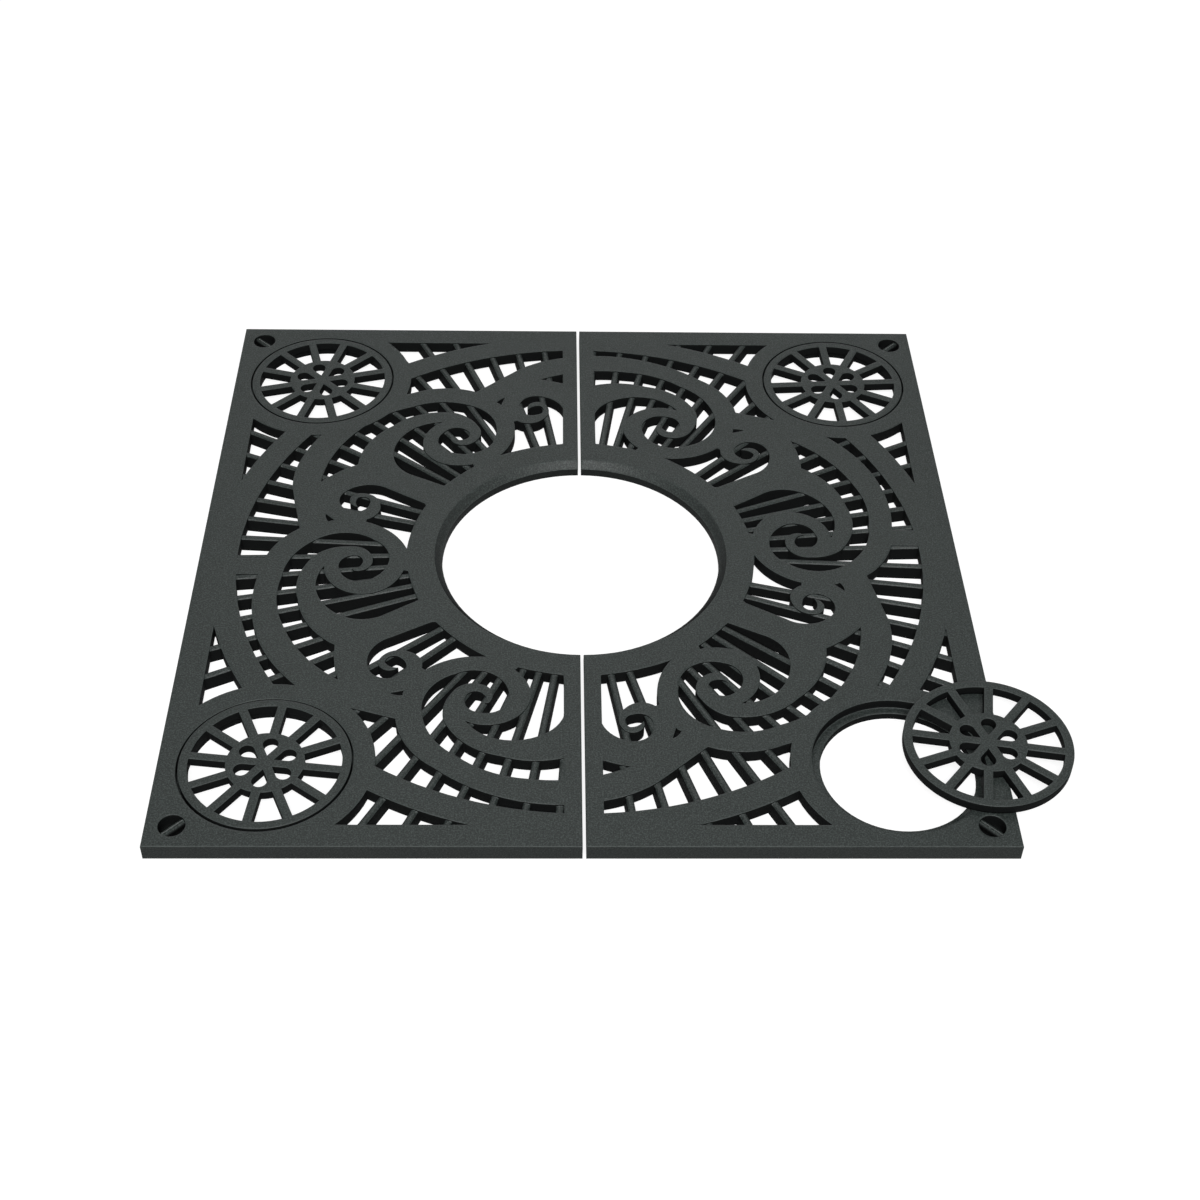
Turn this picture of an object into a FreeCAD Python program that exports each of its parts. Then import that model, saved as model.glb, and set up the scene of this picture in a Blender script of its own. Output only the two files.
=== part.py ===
"""Cast iron tree grate: two scroll-cut halves, four round inserts and four lifting bars."""
import FreeCAD, Part
import math
import os
import Sketcher

from FreeCAD import Placement, Rotation, Vector

# Driving dimensions, in millimetres and degrees
SIZES = [
    ("plate_side", 1200, "side of the closed square, over both halves"),
    ("plate_depth", 25, "full depth of the casting"),
    ("skin_depth", 20, "depth of the openwork between the ribs"),
    ("seam_gap", 5, "gap between the two halves"),
    ("seam_strip", 25, "flat strip along the seam"),
    ("seam_rib", 14, "deep rib under the seam strip"),
    ("frame_width", 43, "flat border along the left and right sides"),
    ("frame_width_ends", 39, "flat border along the front and back"),
    ("frame_rib", 24, "deep rib under the border"),
    ("trunk_radius", 220, "opening for the trunk"),
    ("bevel_radius", 231.5, "bevel of the opening at the top face"),
    ("bevel_depth", 12, "height of that bevel"),
    ("ring_radius", 274, "outside of the plain ring round the opening"),
    ("ring_rib_radius", 250, "outside of the deep rib under the ring"),
    ("rim_radius", 541, "outside of the scrollwork"),
    ("rim_outer_radius", 583, "inside of the corner openings"),
    ("side_strip_width", 38, "strip that carries the middle of each side"),
    ("side_strip_offset", 37, "middle of that strip, along the side"),
    ("bar_pitch", 5, "angle from one radial bar to the next"),
    ("bar_phase_right", 2.1, "angle of the right half's first bar from the repeat's axis"),
    ("bar_phase_left", 1.35, "the same angle in the left half"),
    ("bar_width", 13, "radial bar at its foot"),
    ("bar_crest_width", 10.5, "radial bar where its top starts to round"),
    ("bar_drop", 1.5, "bar crest below the top face"),
    ("bar_crown", 2, "height of the bar's rounded top"),
    ("dimple_depth", 8, "three-cornered dimple beside each scroll"),
    ("seat_offset", 449, "insert centre from both centre lines"),
    ("seat_clearance", 3, "gap round a seated insert"),
    ("seat_lift", 0.3, "gap under an insert"),
    ("well_radius", 111.5, "light well under an insert"),
    ("boss_radius", 155, "flat ring round a well"),
    ("boss_rib_radius", 138, "deep rib round a well"),
    ("insert_radius", 121.5, "round insert"),
    ("insert_depth", 14, "depth of an insert"),
    ("slot_outer_radius", 108.5, "outer end of the insert's slots"),
    ("hub_radius", 56, "solid hub between slots and petals"),
    ("spoke_width", 13, "spoke between two slots"),
    ("slot_count", 12, "slots in an insert"),
    ("petal_count", 6, "petal holes in the hub"),
    ("petal_radius", 11, "round end of a petal"),
    ("petal_centre", 35, "petal's round end from the insert's centre"),
    ("petal_apex", 13, "petal's point from the insert's centre"),
    ("pocket_offset", 563, "lifting pocket from both centre lines"),
    ("pocket_radius", 19, "lifting pocket"),
    ("pocket_depth", 20, "depth of a lifting pocket"),
    ("pocket_wall", 9, "deep boss round a lifting pocket"),
    ("lifting_radius", 5.5, "round lifting bar"),
    ("lifting_drop", 3, "lifting bar below the top face"),
    ("lifting_grip", 8, "lifting bar inside the pocket's wall, each end"),
    ("loose_right", 579, "insert that is taken out: centre right of the middle"),
    ("loose_front", 419, "the same centre, in front of the middle"),
]

REPEATS = 6
BAND = 267

# The ornament's outlines. Each point is degrees from the repeat's axis and millimetres out
# from the ring's edge, drawn for scrollwork of BAND width. One point ends a straight line,
# two are the middle and the end of an arc.
FAN = [
    (24.2, 1.5),
    [(25.6, 55.5)],
    [(25.2, 92), (21.8, 122.5)],
    [(17.2, 140.5), (11.8, 146.5)],
    [(8.3, 141.5), (5.1, 130.5)],
    [(11.3, 120.5), (15.2, 96)],
    [(16.7, 69.5), (16, 41)],
    [(13.5, 22), (9.2, 7.5)],
    [(9.8, 1)],
    [(16, 0.5), (24.2, 1.5)],
]
LADDER = [
    (38.3, 185),
    [(29.5, 203), (20.4, 210)],
    [(13.7, 208.5), (7.5, 196.5)],
    [(1.5, 180), (-3.4, 149.5)],
    [(-6.5, 106.5), (-4.5, 55)],
    [(3.4, 28.5), (10.7, 53.5)],
    [(11.2, 86), (6.8, 106.5)],
    [(3.3, 103.5), (1.7, 86)],
    [(2.6, 72.5), (5.1, 71.5)],
    [(6.3, 77), (6.7, 87.5)],
    [(7.5, 84)],
    [(6.7, 61.5), (3.5, 54.5)],
    [(-0.5, 66), (-1.7, 92)],
    [(-1.1, 117.5), (0.8, 141)],
    [(7, 168.5), (14.8, 176.5)],
    [(22.3, 174), (29.7, 153.5)],
    [(33.7, 170), (38.3, 185)],
]
HOOK = [
    (-1.2, 2),
    [(-8.1, 30), (-11.5, 78)],
    [(-12.5, 78.5)],
    [(-16.2, 65.5), (-19.7, 72.5)],
    [(-21.9, 93.5), (-21.1, 116)],
    [(-18, 120.5), (-16.5, 102.5)],
    [(-18.1, 110), (-19.8, 110.5)],
    [(-20.5, 96.5), (-18.4, 87)],
    [(-15.8, 90.5), (-14.6, 106.5)],
    [(-16.3, 132.5), (-20.1, 138)],
    [(-24.4, 117), (-25.9, 75)],
    [(-24.7, 5.5)],
    [(-24, 0.5)],
    [(-13.5, 0.5), (-1.2, 2)],
]
DIMPLE = [
    (-12.2, 146.5),
    [(-11.3, 137), (-10.5, 128.5)],
    [(-10.3, 133), (-9.8, 137)],
    [(-10.7, 142.5), (-12.2, 146.5)],
]
WAVE = [
    (-6.8, 179),
    [(-2.1, 208.5), (5.1, 229.5)],
    [(11.4, 243), (19.8, 252.5)],
    [(26, 252.5), (32.2, 246)],
    [(37, 237.5), (42, 221.5)],
    [(47.4, 198), (53.2, 179)],
]
RIB_GAP = [
    (5, -24),
    [(-6.5, 45)],
    [(-9, 150)],
    [(-29, 150)],
    [(-29, -24)],
    [(5, -24)],
]
HOOK_BARS = (-15, -21)
INSERTS = [
    ("insert_back_left", -1, 1, 44.7, 0),
    ("insert_back_right", 1, 1, 33.7, 0),
    ("insert_front_left", -1, -1, 23.1, 1.5),
    ("insert_front_right", 1, -1, 20.5, 0),
]
LOOSE = "insert_front_right"
OVERSHOOT = 1

doc = FreeCAD.newDocument("tree_grate")


def make_sheet():
    """Keep the driving dimensions in a spreadsheet."""
    sheet = doc.addObject("Spreadsheet::Sheet", "sizes")
    for row, (alias, value, note) in enumerate(SIZES, start=1):
        sheet.set(f"A{row}", note)
        sheet.set(f"B{row}", str(value))
        sheet.setAlias(f"B{row}", alias)
    doc.recompute()
    return sheet


sheet = make_sheet()


def size(alias):
    """A driving dimension as a number."""
    return float(getattr(sheet, alias))


def bind(feature, **expressions):
    """Tie properties to the sheet; a dot in a property's path is written as two underscores."""
    for path, text in expressions.items():
        for alias, _, _ in SIZES:
            text = text.replace("<" + alias + ">", "sizes." + alias)
        feature.setExpression(path.replace("__", "."), text)
    return feature


def block(name, **expressions):
    """A box whose sizes and place come from the sheet."""
    return bind(doc.addObject("Part::Box", name), **expressions)


def disc(name, **expressions):
    """An upright cylinder whose sizes and place come from the sheet."""
    return bind(doc.addObject("Part::Cylinder", name), **expressions)


def joined(name, shapes):
    """Several objects fused into one."""
    fused = doc.addObject("Part::MultiFuse", name)
    fused.Shapes = shapes
    return fused


def less(name, base, tool):
    """One object cut by another."""
    cut = doc.addObject("Part::Cut", name)
    cut.Base = base
    cut.Tool = tool
    return cut


def circle_face(radius, x=0, y=0):
    """A flat round face."""
    return Part.Face(Part.Wire(Part.makeCircle(radius, Vector(x, y, 0))))


def drawn_point(point, turn):
    """Place a point of the ornament on the plate."""
    angle, out = point
    stretch = (size("rim_radius") - size("ring_radius")) / BAND
    radius = size("ring_radius") + out * stretch
    around = math.radians(angle + turn)
    return Vector(radius * math.cos(around), radius * math.sin(around), 0)


def drawn_edges(outline, turn):
    """The lines and arcs of one outline."""
    edges = []
    here = drawn_point(outline[0], turn)
    for segment in outline[1:]:
        points = [drawn_point(point, turn) for point in segment]
        if len(points) == 1:
            edges.append(Part.LineSegment(here, points[0]).toShape())
        else:
            edges.append(Part.Arc(here, *points).toShape())
        here = points[-1]
    return edges


def drawn_face(outline, turn):
    """One opening of the ornament as a flat face."""
    return Part.Face(Part.Wire(drawn_edges(outline, turn)))


def crescent_face():
    """The band of crescents between the wave of scroll arms and the rim."""
    wave = []
    step = 360 / REPEATS
    for repeat in range(REPEATS):
        wave += drawn_edges(WAVE, repeat * step)
    inside = Part.Face(Part.Wire(wave))
    band = circle_face(size("rim_radius")).cut(inside)
    width = size("side_strip_width")
    low = size("side_strip_offset") - width / 2
    strip = Part.makePlane(size("rim_radius"), width, Vector(size("ring_radius"), low, 0))
    return band.cut(strip)


def open_zone():
    """Where a half may be pierced: inside its border, clear of the seam and the seats."""
    inner = size("seam_gap") / 2 + size("seam_strip")
    outer = size("plate_side") / 2 - size("frame_width")
    end = size("plate_side") / 2 - size("frame_width_ends")
    zone = Part.makePlane(outer - inner, 2 * end, Vector(inner, -end, 0))
    for side in (-1, 1):
        seat = circle_face(size("boss_radius"), size("seat_offset"), side * size("seat_offset"))
        zone = zone.cut(seat)
    return zone


def raised(face, bottom, top):
    """A flat outline as a solid between two heights."""
    solid = face.extrude(Vector(0, 0, top - bottom))
    solid.translate(Vector(0, 0, bottom))
    return solid


def prisms(faces, zone, bottom):
    """Flat outlines, clipped to the zone, as solids from this height to above the top face."""
    top = size("plate_depth") + OVERSHOOT
    return [raised(piece, bottom, top) for face in faces for piece in face.common(zone).Faces]


def radial_bar(angle, bottom):
    """One bar with a rounded top, from inside the ring's rib to beyond the corner."""
    foot = size("bar_width") / 2
    shoulder = size("bar_crest_width") / 2
    crest = size("plate_depth") - size("bar_drop")
    bend = crest - size("bar_crown")
    corners = [Vector(0, -shoulder, bend), Vector(0, -foot, bottom), Vector(0, foot, bottom),
               Vector(0, shoulder, bend)]
    edges = [Part.LineSegment(a, b).toShape() for a, b in zip(corners, corners[1:])]
    edges.append(Part.Arc(corners[-1], Vector(0, 0, crest), corners[0]).toShape())
    start = size("ring_rib_radius") - size("bar_width")
    profile = Part.Face(Part.Wire(edges))
    profile.translate(Vector(start, 0, 0))
    bar = profile.extrude(Vector(size("plate_side") - start, 0, 0))
    bar.rotate(Vector(0, 0, 0), Vector(0, 0, 1), angle)
    return bar


def kept(name, solids):
    """Several solids as one object of the document."""
    feature = doc.addObject("Part::Feature", name)
    feature.Shape = Part.makeCompound([solid for shape in solids for solid in shape.Solids])
    return feature


def scroll_turns():
    """The turns of the ornament that reach the right half."""
    return [repeat * 360 / REPEATS for repeat in range(-2, 3)]


def openwork():
    """The openings of the right half that the radial bars cross, through the skin."""
    zone = open_zone()
    corners = zone.cut(circle_face(size("rim_outer_radius")))
    faces = [drawn_face(outline, turn) for turn in scroll_turns() for outline in (FAN, LADDER)]
    faces += crescent_face().Faces + corners.Faces
    underside = size("plate_depth") - size("skin_depth")
    return kept("openwork", prisms(faces, zone, underside - OVERSHOOT))


def radial_bars(side):
    """The bars of one half, full depth but for the skin's underside round the hooks."""
    outer = (size("plate_side") - size("frame_rib")) / 2
    plate = Part.makeBox(outer, 2 * outer, size("plate_depth"), Vector(0, -outer, 0))
    clear_of_seam = (size("seam_gap") + size("bar_width")) / 2 + OVERSHOOT
    underside = size("plate_depth") - size("skin_depth")
    gaps = [raised(drawn_face(RIB_GAP, turn), -OVERSHOOT, underside) for turn in scroll_turns()]
    quarter = int(90 / size("bar_pitch"))
    bars = []
    for place in range(-quarter, quarter + 1):
        angle = size("bar_phase_" + side) + place * size("bar_pitch")
        if size("ring_rib_radius") * math.cos(math.radians(angle)) > clear_of_seam:
            bars.append(radial_bar(angle, 0).common(plate).cut(gaps))
    return kept("radial_bars_" + side, bars)


def hooks_and_dimples():
    """The hooked chambers of the scrolls, each with bars of its own, and the blind dimples."""
    zone = open_zone()
    underside = size("plate_depth") - size("skin_depth")
    dimple_floor = size("plate_depth") - size("dimple_depth")
    solids = []
    for turn in scroll_turns():
        own_bars = [radial_bar(turn + angle, underside) for angle in HOOK_BARS]
        hooks = prisms([drawn_face(HOOK, turn)], zone, -OVERSHOOT)
        solids += [solid.cut(own_bars) for solid in hooks]
        solids += prisms([drawn_face(DIMPLE, turn)], zone, dimple_floor)
    return kept("hooks_and_dimples", solids)


def casting_blank():
    """The right half before it is pierced: a skin with a border rib, ring and bosses."""
    half = "<plate_side> / 2"
    skin = block(
        "skin", Length=half, Width="<plate_side>", Height="<skin_depth>",
        Placement__Base__y="-<plate_side> / 2",
        Placement__Base__z="<plate_depth> - <skin_depth>")
    outside = block(
        "rib_outside", Length=half, Width="<plate_side>", Height="<plate_depth>",
        Placement__Base__y="-<plate_side> / 2")
    inside = block(
        "rib_inside", Length=half + " - <frame_rib> - <seam_gap> / 2 - <seam_rib>",
        Width="<plate_side> - 2 * <frame_rib>", Height="<plate_depth>",
        Placement__Base__x="<seam_gap> / 2 + <seam_rib>",
        Placement__Base__y="<frame_rib> - <plate_side> / 2")
    ring = disc("ring_rib", Radius="<ring_rib_radius>", Height="<plate_depth>")
    parts = [skin, less("border_rib", outside, inside), ring]
    for name, side in (("front", "-"), ("back", "")):
        parts.append(disc(
            "well_rib_" + name, Radius="<boss_rib_radius>", Height="<plate_depth>",
            Placement__Base__x="<seat_offset>", Placement__Base__y=side + "<seat_offset>"))
        parts.append(disc(
            "pocket_rib_" + name, Radius="<pocket_radius> + <pocket_wall>",
            Height="<plate_depth>",
            Placement__Base__x="<pocket_offset>", Placement__Base__y=side + "<pocket_offset>"))
    return joined("casting_blank", parts)


def lifting_bar(name, side_x, side_y):
    """A round bar across a lifting pocket, along the diagonal."""
    bar = disc(
        name, Radius="<lifting_radius>",
        Height="2 * (<pocket_radius> + <lifting_grip>)")
    reach = "(<pocket_offset> - (<pocket_radius> + <lifting_grip>) / sqrt(2))"
    bind(bar, Placement__Base__x=f"{side_x} * {reach}", Placement__Base__y=f"{side_y} * {reach}",
         Placement__Base__z="<plate_depth> - <lifting_drop> - <lifting_radius>")
    bar.Placement.Rotation = Rotation(Vector(0, 0, 1), Vector(side_x, side_y, 0))
    return bar


def machined_spaces(bars):
    """The trunk opening, seats, wells, pockets and bar holes of the right half."""
    seam = block(
        "seam_space", Length="<plate_side> + <seam_gap> / 2", Width="2 * <plate_side>",
        Height="<plate_depth>", Placement__Base__x="-<plate_side>",
        Placement__Base__y="-<plate_side>")
    trunk = disc("trunk_space", Radius="<trunk_radius>", Height="<plate_depth>")
    bevel = bind(
        doc.addObject("Part::Cone", "bevel_space"), Radius1="<trunk_radius>",
        Radius2="<bevel_radius>", Height="<bevel_depth>",
        Placement__Base__z="<plate_depth> - <bevel_depth>")
    spaces = [seam, trunk, bevel]
    for name, side in (("front", "-"), ("back", "")):
        seat_y = side + "<seat_offset>"
        spaces.append(disc(
            "seat_space_" + name, Radius="<insert_radius> + <seat_clearance>",
            Height="<insert_depth> + <seat_lift>",
            Placement__Base__x="<seat_offset>", Placement__Base__y=seat_y,
            Placement__Base__z="<plate_depth> - <insert_depth> - <seat_lift>"))
        spaces.append(disc(
            "well_space_" + name, Radius="<well_radius>", Height="<plate_depth>",
            Placement__Base__x="<seat_offset>", Placement__Base__y=seat_y))
        spaces.append(disc(
            "pocket_space_" + name, Radius="<pocket_radius>", Height="<pocket_depth>",
            Placement__Base__x="<pocket_offset>", Placement__Base__y=side + "<pocket_offset>",
            Placement__Base__z="<plate_depth> - <pocket_depth>"))
    return joined("machined_spaces", spaces + bars)


def grate_halves(right_bars):
    """The right casting, and the left one, which is drawn as a right one turned half round."""
    pierced = less("pierced_blank", casting_blank(), openwork())
    spaces = joined("all_spaces", [machined_spaces(right_bars), hooks_and_dimples()])
    halves = []
    for side, turn in (("right", 0), ("left", 180)):
        barred = joined("barred_blank_" + side, [pierced, radial_bars(side)])
        half = less("grate_half_" + side, barred, spaces)
        half.Placement = Placement(Vector(0, 0, 0), Rotation(Vector(0, 0, 1), turn))
        halves.append(half)
    return halves


def origin_plane(body):
    """The body's own XY plane."""
    return next(item for item in body.Origin.OriginFeatures if item.Role == "XY_Plane")


def flat_sketch(body, name):
    """A sketch on the body's XY plane."""
    sketch = body.newObject("Sketcher::SketchObject", name)
    sketch.AttachmentSupport = [(origin_plane(body), "")]
    sketch.MapMode = "FlatFace"
    return sketch


def turned(sketch, text):
    """Turn an attached sketch by an angle from the sheet."""
    return bind(sketch, AttachmentOffset__Rotation__Angle=text)


def fix(sketch, kind, where, value, **named):
    """Add a dimension to a sketch and tie it to the sheet."""
    (label, text), = named.items()
    index = sketch.addConstraint(Sketcher.Constraint(kind, *where, value))
    sketch.renameConstraint(index, label)
    bind(sketch, **{"Constraints__" + label: text})


def cut_pattern(body, sketch, count):
    """Cut a sketch through the insert and repeat it round the centre."""
    hole = body.newObject("PartDesign::Pocket", sketch.Name + "_hole")
    hole.Profile = sketch
    hole.Type = "ThroughAll"
    hole.Reversed = True
    pattern = body.newObject("PartDesign::PolarPattern", sketch.Name + "_pattern")
    pattern.Originals = [hole]
    axis = next(item for item in body.Origin.OriginFeatures if item.Role == "Z_Axis")
    pattern.Axis = (axis, [""])
    pattern.Angle = 360
    bind(pattern, Occurrences=count)
    body.Tip = pattern
    return hole


def round_sketch(body):
    """The insert's outline."""
    sketch = flat_sketch(body, "outline")
    sketch.addGeometry(Part.Circle(Vector(0, 0, 0), Vector(0, 0, 1), size("insert_radius")))
    sketch.addConstraint(Sketcher.Constraint("Coincident", 0, 3, -1, 1))
    fix(sketch, "Radius", (0,), size("insert_radius"), radius="<insert_radius>")
    return sketch


def slot_sketch(body):
    """One slot: two arcs round the centre, joined along the flanks of two spokes."""
    sketch = flat_sketch(body, "slot")
    half_pitch = math.pi / size("slot_count")
    half_spoke = size("spoke_width") / 2
    corners = {}
    for label, radius in (("inner", size("hub_radius")), ("outer", size("slot_outer_radius"))):
        reach = half_pitch - math.asin(half_spoke / radius)
        corners[label] = (radius, reach)
    for label in ("inner", "outer"):
        radius, reach = corners[label]
        circle = Part.Circle(Vector(0, 0, 0), Vector(0, 0, 1), radius)
        sketch.addGeometry(Part.ArcOfCircle(circle, -reach, reach))
    for side in (-1, 1):
        ends = [Vector(r * math.cos(a), side * r * math.sin(a), 0)
                for r, a in (corners["inner"], corners["outer"])]
        sketch.addGeometry(Part.LineSegment(*ends))
    constraint = Sketcher.Constraint
    for arc in (0, 1):
        sketch.addConstraint(constraint("Coincident", arc, 3, -1, 1))
    sketch.addConstraint(constraint("Coincident", 0, 1, 2, 1))
    sketch.addConstraint(constraint("Coincident", 1, 1, 2, 2))
    sketch.addConstraint(constraint("Coincident", 0, 2, 3, 1))
    sketch.addConstraint(constraint("Coincident", 1, 2, 3, 2))
    sketch.addConstraint(constraint("Symmetric", 1, 1, 1, 2, -1))
    fix(sketch, "Radius", (0,), size("hub_radius"), inner_radius="<hub_radius>")
    fix(sketch, "Radius", (1,), size("slot_outer_radius"), outer_radius="<slot_outer_radius>")
    flank_angle = "180deg / <slot_count>"
    fix(sketch, "Angle", (-1, 1, 3, 1), half_pitch, flank_angle=flank_angle)
    fix(sketch, "Distance", (-1, 1, 3), half_spoke, half_spoke="<spoke_width> / 2")
    return sketch


def petal_sketch(body):
    """One petal hole: a round outer end, drawn in to a point towards the centre."""
    sketch = flat_sketch(body, "petal")
    apex, centre, radius = size("petal_apex"), size("petal_centre"), size("petal_radius")
    lean = math.asin(radius / (centre - apex))
    touch = Vector(centre - radius * math.sin(lean), radius * math.cos(lean), 0)
    mirror = Vector(touch.x, -touch.y, 0)
    circle = Part.Circle(Vector(centre, 0, 0), Vector(0, 0, 1), radius)
    start = math.atan2(mirror.y, mirror.x - centre)
    sketch.addGeometry(Part.ArcOfCircle(circle, start, -start))
    sketch.addGeometry(Part.LineSegment(Vector(apex, 0, 0), mirror))
    sketch.addGeometry(Part.LineSegment(Vector(apex, 0, 0), touch))
    constraint = Sketcher.Constraint
    sketch.addConstraint(constraint("Tangent", 0, 1, 1, 2))
    sketch.addConstraint(constraint("Tangent", 0, 2, 2, 2))
    sketch.addConstraint(constraint("Coincident", 1, 1, 2, 1))
    sketch.addConstraint(constraint("PointOnObject", 1, 1, -1))
    sketch.addConstraint(constraint("PointOnObject", 0, 3, -1))
    fix(sketch, "Radius", (0,), radius, radius="<petal_radius>")
    fix(sketch, "DistanceX", (-1, 1, 0, 3), centre, centre="<petal_centre>")
    fix(sketch, "DistanceX", (-1, 1, 1, 1), apex, apex="<petal_apex>")
    return sketch


def insert(name, side_x, side_y, turn, shift_back):
    """A round insert with spokes, seated in its recess or lying loose on the corner."""
    body = doc.addObject("PartDesign::Body", name)
    pad = body.newObject("PartDesign::Pad", "disc")
    pad.Profile = round_sketch(body)
    bind(pad, Length="<insert_depth>")
    body.Tip = pad
    doc.recompute()
    slots = turned(slot_sketch(body), "180deg / <slot_count>")
    cut_pattern(body, slots, "<slot_count>")
    petals = petal_sketch(body)
    cut_pattern(body, petals, "<petal_count>")
    body.Placement.Rotation = Rotation(Vector(0, 0, 1), turn)
    if name == LOOSE:
        bind(body, Placement__Base__x="<loose_right>", Placement__Base__y="-<loose_front>",
             Placement__Base__z="<plate_depth> + <seat_lift>")
    else:
        bind(body, Placement__Base__x=f"{side_x} * <seat_offset>",
             Placement__Base__y=f"{side_y} * <seat_offset> + {shift_back}",
             Placement__Base__z="<plate_depth> - <insert_depth>")
    return body


def check(parts):
    """Stop if anything failed to compute."""
    for item in doc.Objects:
        bad = [state for state in item.State if state in ("Invalid", "Error")]
        if bad:
            raise RuntimeError(f"{item.Name} is {bad}")
    for item in parts:
        shape = item.Shape
        if shape.isNull() or not shape.isValid() or len(shape.Solids) != 1:
            raise RuntimeError(f"{item.Label}: not one valid solid")
        print(item.Label, len(shape.Faces), "faces", round(shape.Volume / 1000), "cm3")


right_bars = [lifting_bar("lifting_bar_back_right", 1, 1),
              lifting_bar("lifting_bar_front_right", 1, -1)]
left_bars = [lifting_bar("lifting_bar_back_left", -1, 1),
             lifting_bar("lifting_bar_front_left", -1, -1)]
parts = grate_halves(right_bars)
parts += right_bars + left_bars
parts += [insert(*row) for row in INSERTS]
for part in parts:
    part.Label = part.Name
doc.recompute()
check(parts)
os.makedirs("parts", exist_ok=True)
for part in parts:
    part.Shape.exportStep(f"parts/{part.Label}.step")
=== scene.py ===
"""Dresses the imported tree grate: cast iron finish, camera, soft studio light and a white floor.

Metres throughout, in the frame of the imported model: the underside of the castings is at Z = 0,
the seam between the two halves runs along Y, and the photograph looks along +Y from above.
"""

import math

import bpy
from mathutils import Matrix, Vector

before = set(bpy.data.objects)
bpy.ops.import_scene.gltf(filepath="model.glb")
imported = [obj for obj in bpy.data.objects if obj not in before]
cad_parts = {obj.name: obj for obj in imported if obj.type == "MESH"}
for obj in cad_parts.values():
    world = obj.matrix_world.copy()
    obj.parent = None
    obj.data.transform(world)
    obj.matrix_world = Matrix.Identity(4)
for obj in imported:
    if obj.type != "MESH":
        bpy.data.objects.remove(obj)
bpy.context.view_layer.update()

# Camera, as fitted to the plate's corners, its ring and its round inserts; turns in degrees
CAMERA_PLACE = Vector((-0.0468, -2.2320, 2.0258))
CAMERA_PITCH = 43.319
CAMERA_YAW = -2.042
CAMERA_ROLL = 1.616
CAMERA_REACH = 200.0
LENS_MM = 56.62
FILM_MM = 36.0

# Paint over the iron, as linear colours; WALL_SHADE is painted shade for walls, backward slopes
# and sunk floors
PAINT = (0.0255, 0.0325, 0.0302)
# PAINT_THIN: thin paint for the specks, and at the edges also a painted highlight
PAINT_THIN = (0.073, 0.089, 0.084)
PAINT_DEEP = (0.016, 0.0205, 0.019)
WALL_SHADE = (0.0095, 0.0105, 0.0105)

# Shine of the lit tops, of the surfaces under painted shade, of the lifting bars and of the
# radial bars' crests
TOP_SPECULAR = 0.50
WALL_SPECULAR = 0.04
BAR_SPECULAR = 1.0
TOP_ROUGH = 0.46
WALL_ROUGH = 0.80
BAR_ROUGH = 0.28
CREST_SHEEN = 0.16

# How much painted shade the outer sides and the trunk opening get, where one is as dark as the
# other walls
BORDER_SHADE = 0.62
BORE_SHADE = 0.83

# How far a surface that slants to the front, towards the key light, counts as one that looks up
# and so escapes the painted shade, and the limits between painted shade and lit paint and between
# sloped and flat
FRONT_LIT = 0.35
LIT_FACING_LIMITS = (0.55, 0.90)
FLAT_LIMITS = (0.90, 0.97)

# Grain of the sand mould, pits, mottled paint and rounding of the cast edges, in metres
GRAIN_SIZE = 0.0023
GRAIN_DETAIL = 3.0
GRAIN_HARSHNESS = 0.60
GRAIN_RELIEF = 0.0008
PIT_SPACING = 0.0050
PIT_LIMITS = (0.05, 0.22)
PIT_RELIEF = 0.00020
MOTTLE_SIZE = 0.090
MOTTLE_DETAIL = 5.0
MOTTLE_HARSHNESS = 0.62
EDGE_ROUND = 0.0060
EDGE_SAMPLES = 8
BAR_EDGE_ROUND = 0.0010
BAR_RELIEF = 0.15

# Where the paint is deep, specked, and rubbed thin at the edges with a painted highlight there:
# limits of the mottle, the grain or the edge's turn, and the shares that they give
DEEP_LIMITS = (0.30, 0.70)
DEEP_SHARES = (0.0, 0.5)
SPECK_LIMITS = (0.45, 0.67)
EDGE_LIMITS = (0.995, 0.80)
RUBBED_HIGHLIGHT_LIMITS = (0.38, 0.62)
RUBBED_HIGHLIGHT_SHARES = (0.25, 0.9)

# Shift of each iron's pattern against the casting's
INSERT_SHIFT = 3.7
BAR_SHIFT = 1.9

# Places on the plate
PLATE_HALF = 0.600
BORDER_BAND = (PLATE_HALF - 0.006, PLATE_HALF - 0.001)
BORE_RADIUS = 0.220
BORE_BAND = (BORE_RADIUS + 0.002, BORE_RADIUS + 0.006)
BEYOND_BEVEL = 0.240
BEYOND_FADE = 0.001
CREST_HEIGHT = 0.0226
CREST_REACH = 0.0013
DIMPLE_FLOOR = 0.0170
POCKET_FLOOR = 0.0050
FLOOR_REACH = 0.0008
REACH_FADE = 1.2

# Light, floor and backdrop; heights of the sky are sines of the elevation
CENTRE = Vector((0.0, 0.0, 0.0))
SKY = 0.09
HORIZON = 0.16
HORIZON_FADE = (0.05, 0.30)
BACKDROP_TOP = 0.15
BACKDROP_FADE = 0.08
KEY_POWER = 372.0
KEY_SIZE = (5.0, 3.0)
KEY_PLACE = Vector((0.0, -4.4, 5.4))
BACK_POWER = 79.0
BACK_SIZE = (5.0, 4.0)
BACK_PLACE = Vector((0.0, 4.6, 5.3))
FLOOR_HALF = 30.0
FLOOR_DROP = 0.0004
FLOOR_COLOUR = (0.30, 0.30, 0.30)
FLOOR_GLOW = 0.87
FLOOR_FADE = (2.5, 7.0)

# Sockets of a colour Mix node
MIX_SHARE = 0
MIX_FIRST = 6
MIX_SECOND = 7
MIX_RESULT = 2


def node(tree, kind, **settings):
    """Adds a shader node; a setting names an input, or else a property of the node."""
    made = tree.nodes.new(kind)
    for name, value in settings.items():
        label = name.replace("_", " ").title()
        if label in made.inputs:
            made.inputs[label].default_value = value
        else:
            setattr(made, name, value)
    return made


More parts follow.
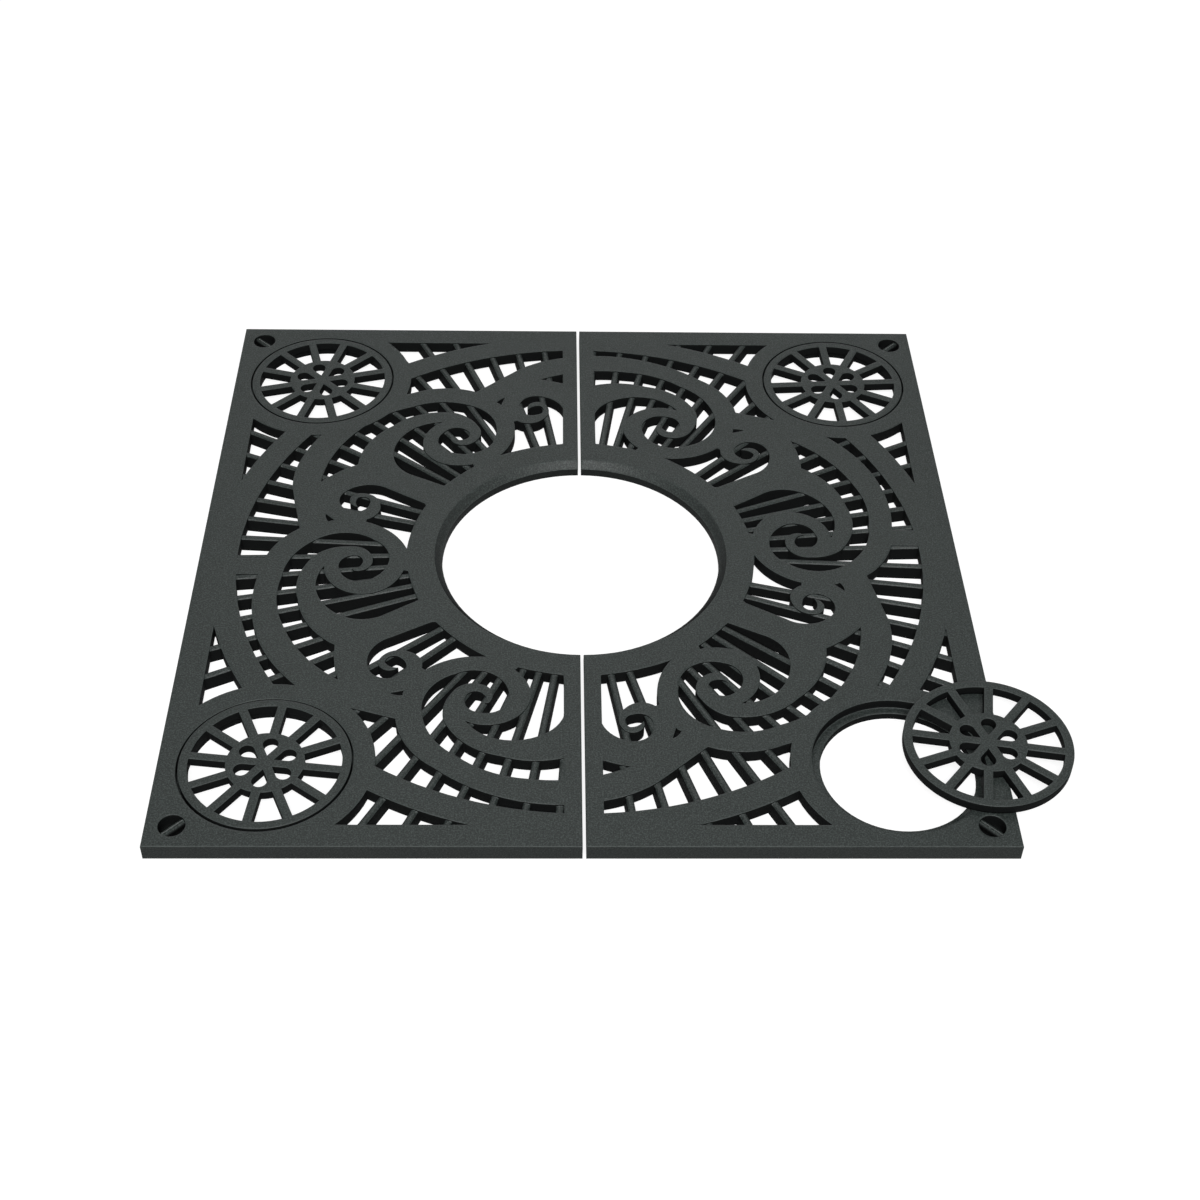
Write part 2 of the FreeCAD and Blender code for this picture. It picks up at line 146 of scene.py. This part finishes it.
def maths(tree, operation, first, second, clamp=False):
    """Two sockets or numbers put through one math node."""
    made = tree.nodes.new("ShaderNodeMath")
    made.operation = operation
    made.use_clamp = clamp
    for slot, value in enumerate((first, second)):
        if isinstance(value, (int, float)):
            made.inputs[slot].default_value = value
        else:
            tree.links.new(value, made.inputs[slot])
    return made.outputs[0]


def product(tree, *factors):
    """Several sockets or numbers multiplied."""
    result = factors[0]
    for factor in factors[1:]:
        result = maths(tree, "MULTIPLY", result, factor)
    return result


def size_of(tree, value):
    """A value without its sign."""
    return maths(tree, "ABSOLUTE", value, 0.0)


def ranged(tree, value, limits, results=(0.0, 1.0)):
    """A value mapped from the limits to the results and held inside them."""
    made = tree.nodes.new("ShaderNodeMapRange")
    for slot, number in enumerate((*limits, *results), 1):
        made.inputs[slot].default_value = number
    tree.links.new(value, made.inputs[0])
    return made.outputs[0]


def near(tree, value, middle, reach):
    """One where a value lies within reach of a middle, and zero a little farther off."""
    off = size_of(tree, maths(tree, "SUBTRACT", value, middle))
    return ranged(tree, off, (reach, reach * REACH_FADE), (1.0, 0.0))


def parts_of(tree, vector):
    """The X, Y and Z outputs of a vector."""
    made = tree.nodes.new("ShaderNodeSeparateXYZ")
    tree.links.new(vector, made.inputs[0])
    return made.outputs["X"], made.outputs["Y"], made.outputs["Z"]


def length_of(tree, vector):
    """The length of a vector."""
    made = node(tree, "ShaderNodeVectorMath", operation="LENGTH")
    tree.links.new(vector, made.inputs[0])
    return made.outputs["Value"]


def noise(tree, where, size, detail, roughness):
    """Noise whose features are about one size across."""
    made = node(tree, "ShaderNodeTexNoise", scale=1.0 / size, detail=detail, roughness=roughness)
    tree.links.new(where, made.inputs["Vector"])
    return made.outputs["Factor"] if "Factor" in made.outputs else made.outputs["Fac"]


def mixed(tree, share, first, second):
    """Two colours, or colour sockets, mixed by a socket."""
    made = tree.nodes.new("ShaderNodeMix")
    made.data_type = "RGBA"
    tree.links.new(share, made.inputs[MIX_SHARE])
    for slot, colour in ((MIX_FIRST, first), (MIX_SECOND, second)):
        if isinstance(colour, tuple):
            made.inputs[slot].default_value = (*colour, 1.0)
        else:
            tree.links.new(colour, made.inputs[slot])
    return made.outputs[MIX_RESULT]


def empty_tree(owner):
    """The emptied node tree of a material or world."""
    owner.use_nodes = True
    owner.node_tree.nodes.clear()
    return owner.node_tree


def finish_tree(tree, kind, shader):
    """Links a shader to a new output node."""
    tree.links.new(shader.outputs[0], tree.nodes.new(kind).inputs["Surface"])


def shade_and_crest_shares(tree, normal, place, border_shade):
    """Two shares: how much painted shade the surface gets, and how much it is a radial bar's
    glossy crest.

    A surface that looks up or slants to the front, towards the key light, keeps the lit paint.
    Walls, slopes that face away from the front and sunk floors get painted shade, and the outer
    sides and the trunk opening get less of it.
    """
    _, to_back, up = parts_of(tree, normal)
    x, y, z = parts_of(tree, place)
    radius = length_of(tree, place)
    outermost = maths(tree, "MAXIMUM", size_of(tree, x), size_of(tree, y))

    # Painted light and shade: surfaces that look up or slant to the front, towards the key light,
    # keep the lit paint; the others get painted shade
    lit_facing = maths(tree, "ADD", up, product(tree, to_back, -FRONT_LIT))
    wall_shade = ranged(tree, lit_facing, LIT_FACING_LIMITS, (1.0, 0.0))
    # Painted shade is lighter on the open outer sides and in the trunk opening than on the other
    # walls
    border = ranged(tree, outermost, BORDER_BAND, (1.0, border_shade))
    bore = ranged(tree, radius, BORE_BAND, (BORE_SHADE, 1.0))
    # Painted shade on the flat floors of the lifting pockets and the dimples
    pocket = near(tree, z, POCKET_FLOOR, FLOOR_REACH)
    dimple = near(tree, z, DIMPLE_FLOOR, FLOOR_REACH)
    sunk_shade = product(tree, maths(tree, "MAXIMUM", pocket, dimple), ranged(tree, up, FLAT_LIMITS))
    shade_share = maths(tree, "MAXIMUM", product(tree, wall_shade, border, bore), sunk_shade)

    off_bevel = ranged(tree, radius, (BEYOND_BEVEL, BEYOND_BEVEL + BEYOND_FADE))
    at_crest = near(tree, z, CREST_HEIGHT, CREST_REACH)
    crest = product(tree, at_crest, off_bevel, maths(tree, "SUBTRACT", 1.0, shade_share))
    return shade_share, crest


def iron(name, shift=0.0, relief=1.0, rough=TOP_ROUGH, shine=TOP_SPECULAR,
         edge_round=EDGE_ROUND, border_shade=1.0):
    """Painted sand cast iron: mottled paint, grain, pits, edges where the paint is thin and a
    painted highlight lies, and painted shade on walls, backward slopes and sunk floors.
    """
    material = bpy.data.materials.new(name)
    tree = empty_tree(material)
    place = tree.nodes.new("ShaderNodeTexCoord").outputs["Object"]
    moved = node(tree, "ShaderNodeMapping", location=(shift, shift, 0.0))
    tree.links.new(place, moved.inputs["Vector"])
    where = moved.outputs["Vector"]

    mottle = noise(tree, where, MOTTLE_SIZE, MOTTLE_DETAIL, MOTTLE_HARSHNESS)
    grain = noise(tree, where, GRAIN_SIZE, GRAIN_DETAIL, GRAIN_HARSHNESS)
    pits = node(tree, "ShaderNodeTexVoronoi", scale=1.0 / PIT_SPACING)
    tree.links.new(where, pits.inputs["Vector"])
    pit = ranged(tree, pits.outputs["Distance"], PIT_LIMITS, (1.0, 0.0))

    rounded = node(tree, "ShaderNodeBevel", samples=EDGE_SAMPLES, radius=edge_round)
    shape = tree.nodes.new("ShaderNodeNewGeometry")
    turn = node(tree, "ShaderNodeVectorMath", operation="DOT_PRODUCT")
    tree.links.new(rounded.outputs[0], turn.inputs[0])
    tree.links.new(shape.outputs["Normal"], turn.inputs[1])
    edge = ranged(tree, turn.outputs["Value"], EDGE_LIMITS)
    # Edges: paint worn thin, and a painted highlight along the rounded edges
    rubbed_and_highlight = product(tree, edge, ranged(tree, mottle, RUBBED_HIGHLIGHT_LIMITS, RUBBED_HIGHLIGHT_SHARES))

    paint = mixed(tree, ranged(tree, mottle, DEEP_LIMITS, DEEP_SHARES), PAINT, PAINT_DEEP)
    paint = mixed(tree, ranged(tree, grain, SPECK_LIMITS), paint, PAINT_THIN)
    paint = mixed(tree, rubbed_and_highlight, paint, PAINT_THIN)
    shade_share, crest = shade_and_crest_shares(tree, shape.outputs["Normal"], place, border_shade)
    # Painted shade: the dark WALL_SHADE colour laid over the paint where the shade share is high
    paint = mixed(tree, shade_share, paint, WALL_SHADE)

    specular = ranged(tree, shade_share, (0.0, 1.0), (shine, WALL_SPECULAR))
    dullness = ranged(tree, shade_share, (0.0, 1.0), (rough, WALL_ROUGH))
    dullness = maths(tree, "SUBTRACT", dullness, product(tree, crest, CREST_SHEEN))
    bumps = product(tree, grain, GRAIN_RELIEF * relief)
    bumps = maths(tree, "SUBTRACT", bumps, product(tree, pit, PIT_RELIEF * relief))
    bump = node(tree, "ShaderNodeBump", strength=1.0, distance=1.0)
    tree.links.new(bumps, bump.inputs["Height"])
    tree.links.new(rounded.outputs[0], bump.inputs["Normal"])

    shader = tree.nodes.new("ShaderNodeBsdfPrincipled")
    tree.links.new(paint, shader.inputs["Base Color"])
    tree.links.new(dullness, shader.inputs["Roughness"])
    tree.links.new(specular, shader.inputs["Specular IOR Level"])
    tree.links.new(bump.outputs[0], shader.inputs["Normal"])
    finish_tree(tree, "ShaderNodeOutputMaterial", shader)
    return material


def seen_directly(tree):
    """One for rays from the camera, a reflection or a clear surface, and zero for the rest."""
    path = tree.nodes.new("ShaderNodeLightPath")
    seen = maths(tree, "ADD", path.outputs["Is Camera Ray"], path.outputs["Is Glossy Ray"])
    return maths(tree, "ADD", seen, path.outputs["Is Transmission Ray"], clamp=True)


def white_floor():
    """A wide pale floor that reads as white and keeps the shadow of the grate."""
    corners = [(x * FLOOR_HALF, y * FLOOR_HALF, -FLOOR_DROP) for x, y in
               ((-1, -1), (1, -1), (1, 1), (-1, 1))]
    mesh = bpy.data.meshes.new("floor")
    mesh.from_pydata(corners, [], [(0, 1, 2, 3)])
    floor = bpy.data.objects.new("floor", mesh)
    bpy.context.scene.collection.objects.link(floor)

    material = bpy.data.materials.new("floor_white")
    tree = empty_tree(material)
    matt = node(tree, "ShaderNodeBsdfDiffuse", color=(*FLOOR_COLOUR, 1.0))
    glow = tree.nodes.new("ShaderNodeEmission")
    place = tree.nodes.new("ShaderNodeTexCoord").outputs["Object"]
    strength = ranged(tree, length_of(tree, place), FLOOR_FADE, (FLOOR_GLOW, 1.0))
    tree.links.new(product(tree, seen_directly(tree), strength), glow.inputs["Strength"])
    both = tree.nodes.new("ShaderNodeAddShader")
    tree.links.new(matt.outputs[0], both.inputs[0])
    tree.links.new(glow.outputs[0], both.inputs[1])
    finish_tree(tree, "ShaderNodeOutputMaterial", both)
    mesh.materials.append(material)


def soft_world():
    """A dim, even sky with a backdrop round the horizon that reads as white."""
    world = bpy.data.worlds.new("studio")
    bpy.context.scene.world = world
    tree = empty_tree(world)
    _, _, height = parts_of(tree, tree.nodes.new("ShaderNodeTexCoord").outputs["Generated"])
    back = node(tree, "ShaderNodeBackground", color=(1.0, 1.0, 1.0, 1.0))
    plain = ranged(tree, height, HORIZON_FADE, (HORIZON, SKY))
    white = ranged(tree, height, (BACKDROP_TOP, BACKDROP_TOP + BACKDROP_FADE), (1.0, SKY))
    strength = maths(tree, "MAXIMUM", plain, product(tree, seen_directly(tree), white))
    tree.links.new(strength, back.inputs["Strength"])
    finish_tree(tree, "ShaderNodeOutputWorld", back)


def softbox(name, place, size, power):
    """An area light that faces the middle of the plate."""
    data = bpy.data.lights.new(name, "AREA")
    data.shape = "RECTANGLE"
    data.size, data.size_y = size
    data.energy = power
    lamp = bpy.data.objects.new(name, data)
    lamp.matrix_world = Matrix.Translation(place) @ (
        (CENTRE - place).to_track_quat("-Z", "Y").to_matrix().to_4x4()
    )
    bpy.context.scene.collection.objects.link(lamp)


def camera():
    """The photograph's camera, from its place, its three turns and its lens."""
    data = bpy.data.cameras.new("camera")
    data.sensor_fit = "HORIZONTAL"
    data.sensor_width = FILM_MM
    data.lens = LENS_MM
    data.clip_end = CAMERA_REACH
    eye = bpy.data.objects.new("camera", data)
    turn = (
        Matrix.Rotation(math.radians(CAMERA_YAW), 4, "Z")
        @ Matrix.Rotation(math.radians(90.0 - CAMERA_PITCH), 4, "X")
        @ Matrix.Rotation(math.radians(CAMERA_ROLL), 4, "Z")
    )
    eye.matrix_world = Matrix.Translation(CAMERA_PLACE) @ turn
    bpy.context.scene.collection.objects.link(eye)
    bpy.context.scene.camera = eye


def dress(start, material):
    """Gives the nodes whose names begin alike one material."""
    for name in sorted(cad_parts):
        if name.startswith(start):
            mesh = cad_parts[name].data
            mesh.materials.clear()
            mesh.materials.append(material)


dress("grate_half", iron("iron_casting", border_shade=BORDER_SHADE))
dress("insert", iron("iron_insert", shift=INSERT_SHIFT))
dress("lifting_bar", iron("iron_bar", shift=BAR_SHIFT, relief=BAR_RELIEF, rough=BAR_ROUGH,
                          shine=BAR_SPECULAR, edge_round=BAR_EDGE_ROUND))

camera()
white_floor()
soft_world()
softbox("key", KEY_PLACE, KEY_SIZE, KEY_POWER)
softbox("back", BACK_PLACE, BACK_SIZE, BACK_POWER)
bpy.context.scene.view_settings.view_transform = "Standard"
